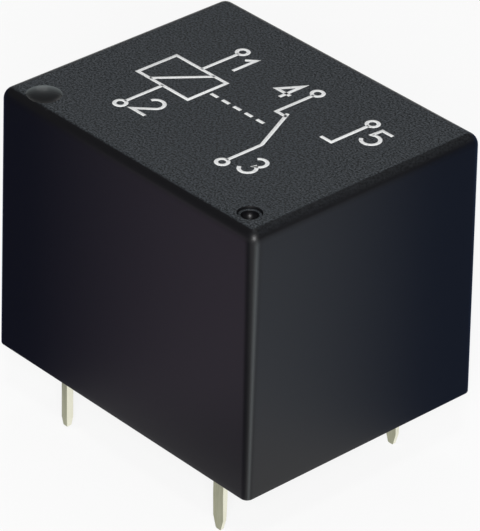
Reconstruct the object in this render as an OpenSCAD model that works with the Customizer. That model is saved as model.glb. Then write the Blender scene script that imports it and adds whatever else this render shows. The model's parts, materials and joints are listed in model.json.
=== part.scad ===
// Sealed power relay for a printed circuit board: a coil pulls an iron armature down, and the
// armature moves one changeover contact from its upper to its lower partner.
// The origin is the middle of the body on the surface of the board. +Z is up, and +X runs along
// the body from the hinge of the armature to the contacts. All lengths are in millimetres.

/* [Cover] */
// Length of the cover at its open bottom edge
body_l = 19.2; // [18.6:0.1:22]
// Width of the cover at its open bottom edge
body_w = 15.5; // [15.2:0.1:18]
// Height of the cover above the board
body_h = 15.2; // [13:0.1:20]
// Thickness of the side walls
wall_t = 0.7; // [0.5:0.05:0.9]
// Thickness of the roof
roof_t = 0.8; // [0.7:0.05:1.2]
// How far each side wall leans in on its way to the top, so that the mould opens
draft = 0.08; // [0:0.01:0.3]
// Height of the straight skirt along the open bottom edge
skirt_h = 0.4; // [0.2:0.05:1]
// Radius of the upright corners
corner_r = 0.4; // [0.2:0.05:0.8]
// Radius along the edges of the top
edge_r = 0.65; // [0.2:0.05:0.7]
// Radius of the corners inside the cover
cavity_r = 0.3; // [0.15:0.05:0.5]
// Distance between the two stop ribs on each long wall
rib_pitch = 5; // [3:0.1:8]
// Width of a stop rib
rib_w = 1; // [0.6:0.1:2]
// How far a stop rib stands in from the wall
rib_d = 0.4; // [0.2:0.05:0.6]
// Height of a stop rib above the base plate
rib_h = 3; // [1:0.1:6]

/* [Gate dish and vent] */
// Diameter of the round gate dish in the top
dish_d = 1.85; // [1:0.05:2.2]
// Depth of the gate dish
dish_depth = 0.24; // [0.1:0.02:0.4]
// Distance of the dish from the end of the cover
dish_inset_x = 2.2; // [1.6:0.05:4]
// Distance of the dish from the side of the cover
dish_inset_y = 1.3; // [1.25:0.05:4]
// Diameter of the vent pip
vent_d = 0.85; // [0.5:0.05:1]
// Depth of the vent pip, which stops short of the inside
vent_depth = 0.6; // [0.3:0.05:0.65]
// Diameter of the shallow ring round the vent pip
vent_ring_d = 1.26; // [1.1:0.02:1.8]
// Depth of that ring
vent_ring_depth = 0.12; // [0.02:0.01:0.15]
// Distance of the vent from the end of the cover
vent_inset_x = 1.85; // [1.5:0.05:4]
// Distance of the vent from the side of the cover
vent_inset_y = 1.45; // [1.3:0.05:4]

/* [Pins] */
// Distance from the end of the cover to the common pin
com_inset = 1.45; // [1.35:0.05:1.9]
// Distance along the body from the common pin to the coil pins
com_pitch = 2.05; // [1.6:0.05:2.4]
// Distance from the other end of the cover to the contact pins
contact_inset = 3.8; // [2.8:0.05:4.2]
// Distance from the long sides of the cover to the coil pins and the contact pins
row_inset = 1.75; // [1.6:0.05:2.4]
// Length of the flat pins below the board
flat_pin_l = 4.4; // [3:0.1:6]
// Length of the coil pins below the board
coil_pin_l = 4.2; // [3:0.1:6]
// Width of the flat pins
flat_pin_w = 0.75; // [0.5:0.05:1]
// Thickness of the terminal strips and their flat pins
strip_t = 0.3; // [0.2:0.05:0.4]
// Side of the square coil pins
coil_pin_s = 0.46; // [0.35:0.02:0.6]
// Length over which the flat pins get narrower towards their tips
flat_tip_l = 0.75; // [0.4:0.05:1.5]
// Length over which the flat pins get thinner towards their tips
flat_taper_l = 2; // [0.8:0.1:3]
// Part of a flat pin's width and thickness that is left at its nose
flat_nose_share = 0.6; // [0.3:0.05:0.8]
// Length over which the coil pins get narrower towards their tips
coil_tip_l = 0.6; // [0.3:0.05:1.5]
// Part of a coil pin's width that is left at its nose
coil_nose_share = 0.75; // [0.4:0.05:0.9]
// How far a flat pin runs up into its strip above the base
pin_root = 0.8; // [0.3:0.1:1.5]

/* [Base and seal] */
// How far the resin lies inside the bottom edge
resin_recess = 0.3; // [0.1:0.05:0.6]
// Thickness of the resin
resin_t = 0.6; // [0.3:0.05:1]
// Thickness of the base plate
base_t = 1.2; // [0.8:0.1:1.6]
// Gap between the base plate or the resin and the cover
base_gap = 0.05; // [0.02:0.01:0.15]
// Clearance round the pins in the base
slot_gap = 0.03; // [0.01:0.01:0.08]
// Thickness of the barrier between coil and contacts
barrier_t = 0.5; // [0.4:0.05:0.8]
// Thickness of the side walls that back the contact strips
backing_t = 0.8; // [0.5:0.05:1.2]
// Gap between the top of the barrier and the lower contact strip
barrier_gap = 0.4; // [0.2:0.05:1]
// Length of the two ribs that keep the yoke in line
guide_l = 4; // [2:0.1:6]
// Thickness of those ribs
guide_t = 0.5; // [0.3:0.05:0.8]
// Height of those ribs
guide_h = 0.9; // [0.5:0.05:1.1]

/* [Magnet] */
// Thickness of the yoke
yoke_t = 1.2; // [1:0.05:1.5]
// Width of the yoke and the armature
yoke_w = 8; // [7:0.1:9]
// Inner radius of the bend in the yoke
yoke_bend_r = 0.3; // [0.1:0.05:0.8]
// Thickness of the armature
armature_t = 1; // [0.8:0.05:1.3]
// How far the armature reaches past the pole
armature_lap = 0.4; // [0.1:0.05:0.8]
// Corner cut at the free end of the armature
armature_cut = 1; // [0.5:0.1:2]
// Chamfer on the armature's heel, inside the bend of the spring
heel_chamfer = 0.5; // [0.4:0.05:0.7]
// Gap between the armature's heel and the spring behind it
heel_gap = 0.06; // [0.04:0.01:0.15]
// Gap that is left over the pole when the armature is closed
air_gap = 0.03; // [0.02:0.01:0.1]
// Diameter of the pole head
pole_d = 7; // [6:0.1:8]
// Thickness of the pole head
pole_t = 0.8; // [0.6:0.05:1.2]
// Part of the winding's diameter that the core takes
core_share = 0.47; // [0.42:0.01:0.5]
// Diameter of the core's tenon in the yoke
tenon_d = 3; // [2:0.1:3.4]

/* [Coil] */
// Clearance round the core in the bobbin
bobbin_gap = 0.05; // [0.02:0.01:0.1]
// Wall thickness of the bobbin's tube
tube_t = 0.6; // [0.4:0.05:0.8]
// Thickness of the bobbin's flanges
flange_t = 0.7; // [0.5:0.05:1]
// Gap between the bobbin and what stands beside it
coil_gap = 0.15; // [0.08:0.01:0.3]
// Depth of the winding's surface below the rim of the flanges
winding_step = 0.35; // [0.1:0.05:0.8]
// Length of the bobbin's ears, which hold the coil pins
ear_l = 1.6; // [1.2:0.1:2]
// Width of the ears
ear_w = 1.5; // [1.2:0.05:1.6]
// Diameter of the coil leads
wire_d = 0.12; // [0.08:0.01:0.16]
// Turns of a lead round its pin
wrap_turns = 4; // [2:1:6]
// Height of the lead above the ear
lead_h = 0.3; // [0.2:0.05:0.5]
// How far the pin stands above the wrapped lead
pin_top = 0.3; // [0.1:0.05:0.6]

/* [Contacts] */
// Gap between the open contacts
contact_gap = 0.45; // [0.3:0.05:0.8]
// Play that is left at contacts that meet
touch_gap = 0.02; // [0.01:0.01:0.05]
// Diameter of the contact heads
contact_d = 2.4; // [1.8:0.1:2.8]
// Height of the contact heads
contact_h = 0.5; // [0.35:0.05:0.7]
// Radius of the crown on the moving contact
crown_r = 4; // [3:0.1:8]
// Chamfer round the face of the fixed contacts
face_chamfer = 0.12; // [0.05:0.01:0.2]
// Diameter of the contacts' shanks
shank_d = 1.3; // [1:0.05:1.6]
// Diameter of the riveted tails of the fixed contacts
tail_d = 1.9; // [1.7:0.05:2.2]
// Height of those tails
tail_h = 0.2; // [0.1:0.02:0.3]
// Width of the fixed contact strips
strip_w = 3; // [2.9:0.1:3.4]
// Inner radius of the bends in those strips
strip_bend_r = 0.3; // [0.1:0.05:0.6]
// Gap between the upper strip's contact and the roof
headroom = 0.25; // [0.1:0.05:0.5]
// Width of the common terminal's plate
com_plate_w = 3.6; // [3:0.1:5]
// Radius of the upper corners of that plate
com_plate_r = 0.5; // [0.2:0.05:1]

/* [Contact spring] */
// Thickness of the spring
spring_t = 0.2; // [0.1:0.02:0.3]
// Width of the spring
spring_w = 5; // [4:0.1:6]
// Inner radius of the bend round the armature's heel
spring_bend_r = 0.4; // [0.3:0.05:0.6]
// Radius of the spring's round end
spring_end_r = 1.7; // [1.5:0.05:2.2]
// Width of the window that makes the bend soft
window_w = 2.4; // [1:0.1:3]
// How far the window reaches from the hinge along the armature
window_reach = 1.6; // [1:0.1:2]
// How far the window reaches below the hinge
window_drop = 1.2; // [0.5:0.1:2]
// Diameter of the rivets
rivet_d = 1; // [0.8:0.05:1.2]
// Diameter of the rivets' heads
rivet_head_d = 1.7; // [1.5:0.05:2]
// Height of the rivets' heads
rivet_head_h = 0.25; // [0.15:0.01:0.28]
// Radius of the crown on the rivets' heads
rivet_crown_r = 1.8; // [1.6:0.1:4]
// Distance from the hinge to the first rivet on the armature
rivet_inset = 3.2; // [2.9:0.1:4]
// Distance between the two rivets on the armature
rivet_pitch = 4; // [2.5:0.1:5]
// Distance across the body between the two rivets on the yoke
yoke_rivet_pitch = 2.2; // [2.1:0.1:2.4]
// Depth of the rivets on the yoke below the hinge
yoke_rivet_drop = 3.8; // [3.4:0.1:4.6]
// Length of spring and common terminal past those rivets
rivet_margin = 1.5; // [1.2:0.1:1.8]

/* [Hidden] */
$fn = 64;
// Segments of the rounded corners that a hull joins
hull_fn = 32;
// How far a cutting solid runs past the face that it opens
overcut = 1;
// Sides of a coil lead's section, and its sections in each turn round a pin
lead_sides = 8;
lead_steps = 16;
// Flats that make up the bend of the contact spring
bend_steps = 12;

half_l = body_l / 2;
half_w = body_w / 2;
inner_l = body_l - 2 * wall_t;
inner_w = body_w - 2 * wall_t;

// Places of the pins
com_x = com_inset - half_l;
coil_x = com_x + com_pitch;
contact_x = half_l - contact_inset;
row_y = half_w - row_inset;

// Levels from the board up to the coil
base_z = resin_recess + resin_t;
floor_z = base_z + base_t;
seat_z = floor_z + yoke_t;

// The hinge is the outer top edge of the yoke, with the spring and the common terminal behind it
hinge_x = com_x + strip_t / 2 + spring_t;
contact_arm = contact_x - hinge_x;
open_angle = asin((contact_gap - touch_gap) / contact_arm);

// Levels from the roof down to the hinge. The moving contact's crown meets the upper contact at
// rest, so the height of the hinge follows from the height of that contact.
nc_tab_z = body_h - roof_t - headroom - tail_h - strip_t;
nc_face_z = nc_tab_z - contact_h;
blade_rise = air_gap + armature_t;
crown_rise = blade_rise + spring_t + contact_h - crown_r;
hinge_z = nc_face_z - touch_gap - crown_r - contact_arm * sin(open_angle) - crown_rise * cos(open_angle);
blade_z = hinge_z + blade_rise;
no_tab_z = blade_z - touch_gap - 2 * contact_h - strip_t;
yoke_rivet_z = hinge_z - yoke_rivet_drop;

// The coil fills the room between the yoke and the barrier
yoke_in_x = hinge_x + yoke_t;
strip_in_x = contact_x - strip_w / 2;
barrier_x = strip_in_x - slot_gap - barrier_t;
core_x = (yoke_in_x + barrier_x) / 2;
flange_r = (barrier_x - yoke_in_x) / 2 - coil_gap;
winding_r = flange_r - winding_step;
core_d = 2 * core_share * winding_r;
bore_r = core_d / 2 + bobbin_gap;
tube_r = bore_r + tube_t;
pole_z = hinge_z - pole_t;
winding_z = seat_z + flange_t;
winding_h = pole_z - flange_t - winding_z;
armature_end_x = core_x + pole_d / 2 + armature_lap;

// The bend of the spring touches the yoke's outer face and the top of the open armature
bend_x = hinge_x + spring_bend_r;
bend_z = hinge_z + (blade_rise - spring_bend_r + spring_bend_r * sin(open_angle)) / cos(open_angle);
leg_foot_z = yoke_rivet_z - rivet_margin;

// Point in the XZ plane, turned from the closed position of the armature to the open one
function lift(x, z) = [
    hinge_x + (x - hinge_x) * cos(open_angle) - (z - hinge_z) * sin(open_angle),
    hinge_z + (x - hinge_x) * sin(open_angle) + (z - hinge_z) * cos(open_angle)
];

// Arc of the spring's bend with radius r, from the leg to the blade
function bend_arc(r) = [
    for (i = [0 : bend_steps])
        let (a = 180 - (90 - open_angle) * i / bend_steps)
        [bend_x + r * cos(a), bend_z + r * sin(a)]
];
function reversed(list) = [for (i = [len(list) - 1 : -1 : 0]) list[i]];

// Side outline of the spring: up its leg, round the armature's heel and out along the open blade
spring_end_x = contact_x + spring_end_r;
spring_outline = concat(
    [[hinge_x, leg_foot_z]],
    bend_arc(spring_bend_r),
    [lift(spring_end_x, blade_z), lift(spring_end_x, blade_z + spring_t)],
    reversed(bend_arc(spring_bend_r + spring_t)),
    [[hinge_x - spring_t, leg_foot_z]]
);

// A coil lead leaves the winding on the straight line that also touches its turns round the pin
wrap_r = coil_pin_s / sqrt(2) + wire_d / 2 + slot_gap;
run_r = winding_r + wire_d / 2 + slot_gap;
pin_to_core = [core_x - coil_x, -row_y];
run_angle = atan2(pin_to_core.y, pin_to_core.x) + acos((wrap_r - run_r) / norm(pin_to_core));
lead_z = winding_z + lead_h;
wrap_pitch = wire_d + slot_gap;
pin_top_z = lead_z + wrap_turns * wrap_pitch + pin_top;

// Turns a piece from the closed position of the armature to the open one
module lifted() {
    translate([hinge_x, 0, hinge_z])
        rotate([0, -open_angle, 0])
            translate([-hinge_x, 0, -hinge_z])
                children();
}

// Block whose walls lean in from a straight foot, with round upright corners and round top edges
module leaning_block(l, w, foot_z, top_z, foot_r, top_r) {
    hull() {
        for (sx = [-1, 1], sy = [-1, 1]) {
            translate([sx * (l / 2 - foot_r), sy * (w / 2 - foot_r), foot_z])
                cylinder(r = foot_r, h = skirt_h - foot_z, $fn = hull_fn);
            translate([sx * (l / 2 - draft - top_r), sy * (w / 2 - draft - top_r), top_z - top_r])
                sphere(r = top_r, $fn = hull_fn);
        }
    }
}

// Rectangle about the origin with round corners
module round_rect(l, w, r) {
    square([l - 2 * r, w], center = true);
    square([l, w - 2 * r], center = true);
    for (sx = [-1, 1], sy = [-1, 1])
        translate([sx * (l / 2 - r), sy * (w / 2 - r)])
            circle(r);
}

// Section of a strip bent to a right angle: its outer corner is the origin, its legs lie along +X and +Y
module angle_section(leg_x, leg_y, t, bend_r) {
    outer_r = bend_r + t;
    translate([outer_r, 0])
        square([leg_x - outer_r, t]);
    translate([0, outer_r])
        square([t, leg_y - outer_r]);
    intersection() {
        square(outer_r);
        translate([outer_r, outer_r]) {
            difference() {
                circle(outer_r);
                circle(bend_r);
            }
        }
    }
}

// Outline of a pin that hangs from the origin and tapers to a round nose, share of its width w
module pin_outline(w, l, taper, share) {
    nose_w = share * w;
    polygon([
        [-w / 2, 0], [-w / 2, taper - l], [-nose_w / 2, nose_w / 2 - l],
        [nose_w / 2, nose_w / 2 - l], [w / 2, taper - l], [w / 2, 0]
    ]);
    translate([0, nose_w / 2 - l])
        circle(d = nose_w);
}

// Pin of length l that hangs from the origin. Its widths w along X and Y have tapers of their own.
module pin(w, l, taper, share) {
    intersection() {
        rotate([90, 0, 0])
            linear_extrude(w.y, center = true)
                pin_outline(w.x, l, taper.x, share);
        rotate([90, 0, 90])
            linear_extrude(w.x, center = true)
                pin_outline(w.y, l, taper.y, share);
    }
}

// Plan of all five pins, each widened by gap on every side
module pin_plan(gap) {
    translate([com_x, 0])
        square([strip_t + 2 * gap, flat_pin_w + 2 * gap], center = true);
    for (side = [-1, 1]) {
        translate([contact_x, side * row_y])
            square([flat_pin_w + 2 * gap, strip_t + 2 * gap], center = true);
        translate([coil_x, side * row_y])
            square(coil_pin_s + 2 * gap, center = true);
    }
}

// Round head that stands on the origin, crowned with radius r
module crowned_head(d, h, r) {
    intersection() {
        cylinder(d = d, h = h);
        translate([0, 0, h - r])
            sphere(r);
    }
}

// Rivet with its head on the plane z = 0 and a flush shank of the given grip below it
module rivet(grip) {
    crowned_head(rivet_head_d, rivet_head_h, rivet_crown_r);
    translate([0, 0, -grip])
        cylinder(d = rivet_d, h = grip);
}

// Places its children at the two rivets of the yoke, with +Z turned outwards along -X
module at_yoke_rivets() {
    for (side = [-1, 1])
        translate([com_x - strip_t / 2, side * yoke_rivet_pitch / 2, yoke_rivet_z])
            rotate([0, -90, 0])
                children();
}

// Places its children at the two rivets of the armature, on top of the closed spring
module at_armature_rivets() {
    for (i = [0, 1])
        translate([hinge_x + rivet_inset + i * rivet_pitch, 0, blade_z + spring_t])
            children();
}

module cover() {
    color("#26272a") {
        difference() {
            union() {
                difference() {
                    leaning_block(body_l, body_w, 0, body_h, corner_r, edge_r);
                    leaning_block(inner_l, inner_w, -overcut, body_h - roof_t, cavity_r, cavity_r);
                }
                stop_ribs();
            }
            gate_dish();
            vent_pip();
        }
    }
}

// Ribs inside the long walls that sit on the edge of the base plate
module stop_ribs() {
    root_y = half_w - (wall_t + draft) / 2;
    tip_y = inner_w / 2 - rib_d;
    for (x = [-rib_pitch / 2, rib_pitch / 2], side = [0, 1])
        mirror([0, side, 0])
            translate([x - rib_w / 2, tip_y, floor_z])
                cube([rib_w, root_y - tip_y, rib_h]);
}

module gate_dish() {
    ball_r = (pow(dish_d / 2, 2) + pow(dish_depth, 2)) / (2 * dish_depth);
    translate([dish_inset_x - half_l, dish_inset_y - half_w, body_h - dish_depth + ball_r])
        sphere(ball_r);
}

module vent_pip() {
    translate([half_l - vent_inset_x, vent_inset_y - half_w, body_h]) {
        translate([0, 0, -vent_ring_depth])
            cylinder(d = vent_ring_d, h = vent_ring_depth + overcut);
        translate([0, 0, vent_d / 2 - vent_depth]) {
            sphere(d = vent_d);
            cylinder(d = vent_d, h = vent_depth + overcut);
        }
    }
}

module base() {
    color("#3a3b3e") {
        difference() {
            union() {
                translate([0, 0, base_z])
                    linear_extrude(base_t)
                        round_rect(inner_l - 2 * (base_gap + draft), inner_w - 2 * (base_gap + draft), cavity_r);
                translate([0, 0, floor_z]) {
                    linear_extrude(no_tab_z - barrier_gap - floor_z)
                        barrier_plan();
                    linear_extrude(yoke_t)
                        ear_plan();
                    linear_extrude(guide_h)
                        guide_plan();
                }
            }
            translate([0, 0, base_z - overcut])
                linear_extrude(base_t + yoke_t + 2 * overcut)
                    pin_plan(slot_gap);
        }
    }
}

// Barrier across the body, with side walls that back the contact strips
module barrier_plan() {
    outer_y = row_y - strip_t / 2 - slot_gap;
    inner_y = outer_y - backing_t;
    difference() {
        translate([barrier_x, -outer_y])
            square([contact_x + strip_w / 2 - barrier_x, 2 * outer_y]);
        translate([barrier_x + barrier_t, -inner_y])
            square([strip_w + overcut, 2 * inner_y]);
    }
}

// Ears at the coil pins: the base has them as feet, and the bobbin stands on those
module ear_plan() {
    for (side = [-1, 1])
        translate([coil_x, side * row_y])
            square([ear_l, ear_w], center = true);
}

// Ribs on both sides of the yoke
module guide_plan() {
    for (side = [0, 1])
        mirror([0, side])
            translate([core_x - guide_l / 2, yoke_w / 2 + slot_gap])
                square([guide_l, guide_t]);
}

module seal_resin() {
    color("#202124") {
        translate([0, 0, resin_recess]) {
            linear_extrude(resin_t) {
                difference() {
                    round_rect(inner_l - 2 * base_gap, inner_w - 2 * base_gap, cavity_r);
                    pin_plan(0);
                }
            }
        }
    }
}

module bobbin() {
    color("#e9e4d4") {
        difference() {
            union() {
                translate([0, 0, seat_z]) {
                    linear_extrude(flange_t)
                        lower_flange_plan();
                    translate([core_x, 0, 0])
                        cylinder(r = tube_r, h = pole_z - seat_z);
                }
                translate([core_x, 0, pole_z - flange_t])
                    cylinder(r = flange_r, h = flange_t);
            }
            translate([core_x, 0, seat_z - overcut])
                cylinder(r = bore_r, h = pole_z - seat_z + 2 * overcut);
            translate([0, 0, seat_z - overcut])
                linear_extrude(flange_t + 2 * overcut)
                    pin_plan(0);
        }
    }
}

// Round flange, with a bar across the body to the ears of the coil pins, cut back from the yoke's bend
module lower_flange_plan() {
    bend_end_x = yoke_in_x + yoke_bend_r;
    difference() {
        translate([core_x, 0])
            circle(flange_r);
        translate([bend_end_x - yoke_t, -yoke_w / 2])
            square([yoke_t, yoke_w]);
    }
    translate([bend_end_x, -row_y])
        square([coil_x + ear_l / 2 - bend_end_x, 2 * row_y]);
    ear_plan();
}

module coil_winding() {
    color("#b4622f") {
        translate([core_x, 0, winding_z]) {
            difference() {
                cylinder(r = winding_r, h = winding_h);
                translate([0, 0, -overcut])
                    cylinder(r = tube_r, h = winding_h + 2 * overcut);
            }
        }
    }
}

// Middle line of the back coil lead: from the winding to the pin, then up round the pin in a helix
lead_path = concat(
    [[core_x + run_r * cos(run_angle), run_r * sin(run_angle), lead_z]],
    [for (i = [0 : wrap_turns * lead_steps])
        let (a = run_angle + i * 360 / lead_steps)
        [coil_x + wrap_r * cos(a), row_y + wrap_r * sin(a), lead_z + wrap_pitch * i / lead_steps]]
);

function unit(v) = v / norm(v);

// Round section of radius r at point i of a path that is never upright
function path_ring(path, i, r) =
    let (
        ahead = unit(path[min(i + 1, len(path) - 1)] - path[max(i - 1, 0)]),
        across = unit(cross(ahead, [0, 0, 1])),
        up = cross(across, ahead)
    )
    [for (k = [0 : lead_sides - 1])
        let (a = k * 360 / lead_sides)
        path[i] + r * (cos(a) * across + sin(a) * up)];

// Tube of radius r along a path, closed at both ends
module tube_along(path, r) {
    n = lead_sides;
    last = len(path) - 1;
    points = [for (i = [0 : last]) each path_ring(path, i, r)];
    walls = [for (i = [0 : last - 1], k = [0 : n - 1])
        [i * n + k, i * n + (k + 1) % n, (i + 1) * n + (k + 1) % n, (i + 1) * n + k]];
    start_cap = [for (k = [n - 1 : -1 : 0]) k];
    end_cap = [for (k = [0 : n - 1]) last * n + k];
    polyhedron(points, concat(walls, [start_cap, end_cap]));
}

module coil_lead_back() {
    color("#c06a35")
        tube_along(lead_path, wire_d / 2);
}

module coil_lead_front() {
    mirror([0, 1, 0])
        coil_lead_back();
}

// Square pin through resin, base and bobbin, standing clear of the ear for the lead
module coil_pin(side) {
    color("#cfcab4")
        translate([coil_x, side * row_y, pin_top_z])
            pin(
                [coil_pin_s, coil_pin_s], pin_top_z + coil_pin_l,
                [coil_tip_l, coil_tip_l], coil_nose_share
            );
}

module coil_pin_front() {
    coil_pin(-1);
}

module coil_pin_back() {
    coil_pin(1);
}

// Core with a pole head, and a tenon that is staked in the yoke
module core() {
    color("#b9bcc0") {
        translate([core_x, 0, 0]) {
            translate([0, 0, floor_z])
                cylinder(d = tenon_d, h = yoke_t);
            translate([0, 0, seat_z])
                cylinder(d = core_d, h = pole_z - seat_z);
            translate([0, 0, pole_z])
                cylinder(d = pole_d, h = pole_t);
        }
    }
}

module yoke() {
    color("#aeb1b5") {
        difference() {
            translate([hinge_x, 0, floor_z])
                rotate([90, 0, 0])
                    linear_extrude(yoke_w, center = true)
                        angle_section(core_x + pole_d / 2 - hinge_x, hinge_z - floor_z, yoke_t, yoke_bend_r);
            translate([core_x, 0, floor_z - overcut])
                cylinder(d = tenon_d, h = yoke_t + 2 * overcut);
            at_yoke_rivets()
                rivet_hole(strip_t + spring_t + yoke_t);
        }
    }
}

// Hole for a rivet, through the given depth below the rivet's head
module rivet_hole(depth) {
    translate([0, 0, -depth - overcut])
        cylinder(d = rivet_d, h = depth + 2 * overcut);
}

module yoke_rivets() {
    color("#c9a94f")
        at_yoke_rivets()
            rivet(strip_t + spring_t + yoke_t);
}

module armature() {
    heel_x = hinge_x + heel_gap;
    top_z = hinge_z + blade_rise;
    half = yoke_w / 2;
    end_x = armature_end_x;
    cut = armature_cut;
    color("#b2b5b9") {
        lifted() {
            difference() {
                translate([0, 0, hinge_z + air_gap])
                    linear_extrude(armature_t)
                        polygon([
                            [heel_x, -half], [end_x - cut, -half], [end_x, cut - half],
                            [end_x, half - cut], [end_x - cut, half], [heel_x, half]
                        ]);
                rotate([90, 0, 0])
                    linear_extrude(yoke_w + 2 * overcut, center = true)
                        polygon([
                            [heel_x - overcut, top_z - heel_chamfer - overcut],
                            [heel_x + heel_chamfer + overcut, top_z + overcut],
                            [heel_x - overcut, top_z + overcut]
                        ]);
                at_armature_rivets()
                    rivet_hole(spring_t + armature_t);
            }
        }
    }
}

module armature_rivets() {
    color("#c9a94f")
        lifted()
            at_armature_rivets()
                rivet(spring_t + armature_t);
}

module contact_spring() {
    color("#d49a5b") {
        difference() {
            rotate([90, 0, 0])
                linear_extrude(spring_w, center = true)
                    polygon(spring_outline);
            translate([hinge_x - spring_t - overcut, -window_w / 2, hinge_z - window_drop])
                cube([spring_t + overcut + window_reach, window_w, window_drop + blade_rise + spring_t + overcut]);
            at_yoke_rivets()
                rivet_hole(strip_t + spring_t);
            lifted() {
                translate([0, 0, blade_z - overcut])
                    linear_extrude(spring_t + 2 * overcut)
                        blade_waste();
                at_armature_rivets()
                    rivet_hole(spring_t);
            }
        }
    }
}

// What is cut from the end of the blade: it narrows to a round end, with a hole for the contact
module blade_waste() {
    half = spring_w / 2;
    difference() {
        translate([armature_end_x, -spring_w])
            square([contact_x + 2 * spring_end_r - armature_end_x, 2 * spring_w]);
        polygon([
            [armature_end_x - overcut, -half], [armature_end_x, -half], [contact_x, -spring_end_r],
            [contact_x, spring_end_r], [armature_end_x, half], [armature_end_x - overcut, half]
        ]);
        translate([contact_x, 0])
            circle(spring_end_r);
    }
    translate([contact_x, 0])
        circle(d = shank_d);
}

// Contact with a crowned head on both sides of the spring
module moving_contact() {
    color("#d9dadb") {
        lifted() {
            translate([contact_x, 0, blade_z]) {
                cylinder(d = shank_d, h = spring_t);
                translate([0, 0, spring_t])
                    crowned_head(contact_d, contact_h, crown_r);
                mirror([0, 0, 1])
                    crowned_head(contact_d, contact_h, crown_r);
            }
        }
    }
}

// Plate riveted over the spring's leg, and the common pin below it
module com_terminal() {
    plate_h = yoke_rivet_z + rivet_margin - floor_z;
    color("#cfcab4") {
        difference() {
            translate([com_x - strip_t / 2, 0, floor_z]) {
                rotate([90, 0, 90]) {
                    linear_extrude(strip_t) {
                        translate([0, plate_h / 2])
                            round_rect(com_plate_w, plate_h, com_plate_r);
                        translate([-com_plate_w / 2, 0])
                            square([com_plate_w, com_plate_r]);
                    }
                }
            }
            at_yoke_rivets()
                rivet_hole(strip_t);
        }
        translate([com_x, 0, floor_z + pin_root])
            pin(
                [strip_t, flat_pin_w], floor_z + pin_root + flat_pin_l,
                [flat_taper_l, flat_tip_l], flat_nose_share
            );
    }
}

// Strip that stands on the base at the front row, bent over at the top into a tab for its contact,
// and the pin below it. The underside of the tab is at tab_z.
module fixed_terminal(tab_z) {
    color("#cfcab4") {
        difference() {
            intersection() {
                translate([strip_in_x, -row_y - strip_t / 2, tab_z + strip_t])
                    rotate([90, 0, 90])
                        linear_extrude(strip_w)
                            mirror([0, 1])
                                angle_section(
                                    row_y + strip_t / 2 + strip_w / 2, tab_z + strip_t - floor_z,
                                    strip_t, strip_bend_r
                                );
                translate([contact_x, 0, 0])
                    linear_extrude(body_h)
                        tab_plan();
            }
            translate([contact_x, 0, tab_z - overcut])
                cylinder(d = shank_d, h = strip_t + 2 * overcut);
        }
        translate([contact_x, -row_y, floor_z + pin_root])
            pin(
                [flat_pin_w, strip_t], floor_z + pin_root + flat_pin_l,
                [flat_tip_l, flat_taper_l], flat_nose_share
            );
    }
}

// Plan of a tab that comes from the front row and ends round about its contact
module tab_plan() {
    circle(d = strip_w);
    translate([-strip_w / 2, -half_w])
        square([strip_w, half_w]);
}

// Contact that hangs below a tab whose underside is at z = 0, with its tail riveted over above
module fixed_contact() {
    color("#d9dadb") {
        translate([0, 0, -contact_h])
            cylinder(d1 = contact_d - 2 * face_chamfer, d2 = contact_d, h = face_chamfer);
        translate([0, 0, face_chamfer - contact_h])
            cylinder(d = contact_d, h = contact_h - face_chamfer);
        cylinder(d = shank_d, h = strip_t);
        translate([0, 0, strip_t])
            cylinder(d = tail_d, h = tail_h);
    }
}

module nc_terminal() {
    fixed_terminal(nc_tab_z);
}

module nc_contact() {
    translate([contact_x, 0, nc_tab_z])
        fixed_contact();
}

module no_terminal() {
    mirror([0, 1, 0])
        fixed_terminal(no_tab_z);
}

module no_contact() {
    translate([contact_x, 0, no_tab_z + strip_t])
        mirror([0, 0, 1])
            fixed_contact();
}

cover();
base();
seal_resin();
bobbin();
coil_winding();
coil_lead_front();
coil_lead_back();
coil_pin_front();
coil_pin_back();
core();
yoke();
yoke_rivets();
armature();
armature_rivets();
contact_spring();
moving_contact();
com_terminal();
no_terminal();
no_contact();
nc_terminal();
nc_contact();
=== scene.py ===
# %% [markdown]
# # A sealed relay for a circuit board
# A power relay is a small black box on five tinned pins. Inside it, a coil pulls an iron plate, and the
# plate moves a contact from one partner to the other. The CAD parts give every size and place. This
# lesson dresses them: it makes the moulded cover, the print, the pins, the spring and the winding as
# surfaces worked out with numpy, and gives every part the finish of its real material.

# %% Load the frame
import json
import math

import bmesh
import bpy
import numpy as np
from mathutils import Matrix, Vector


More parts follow.
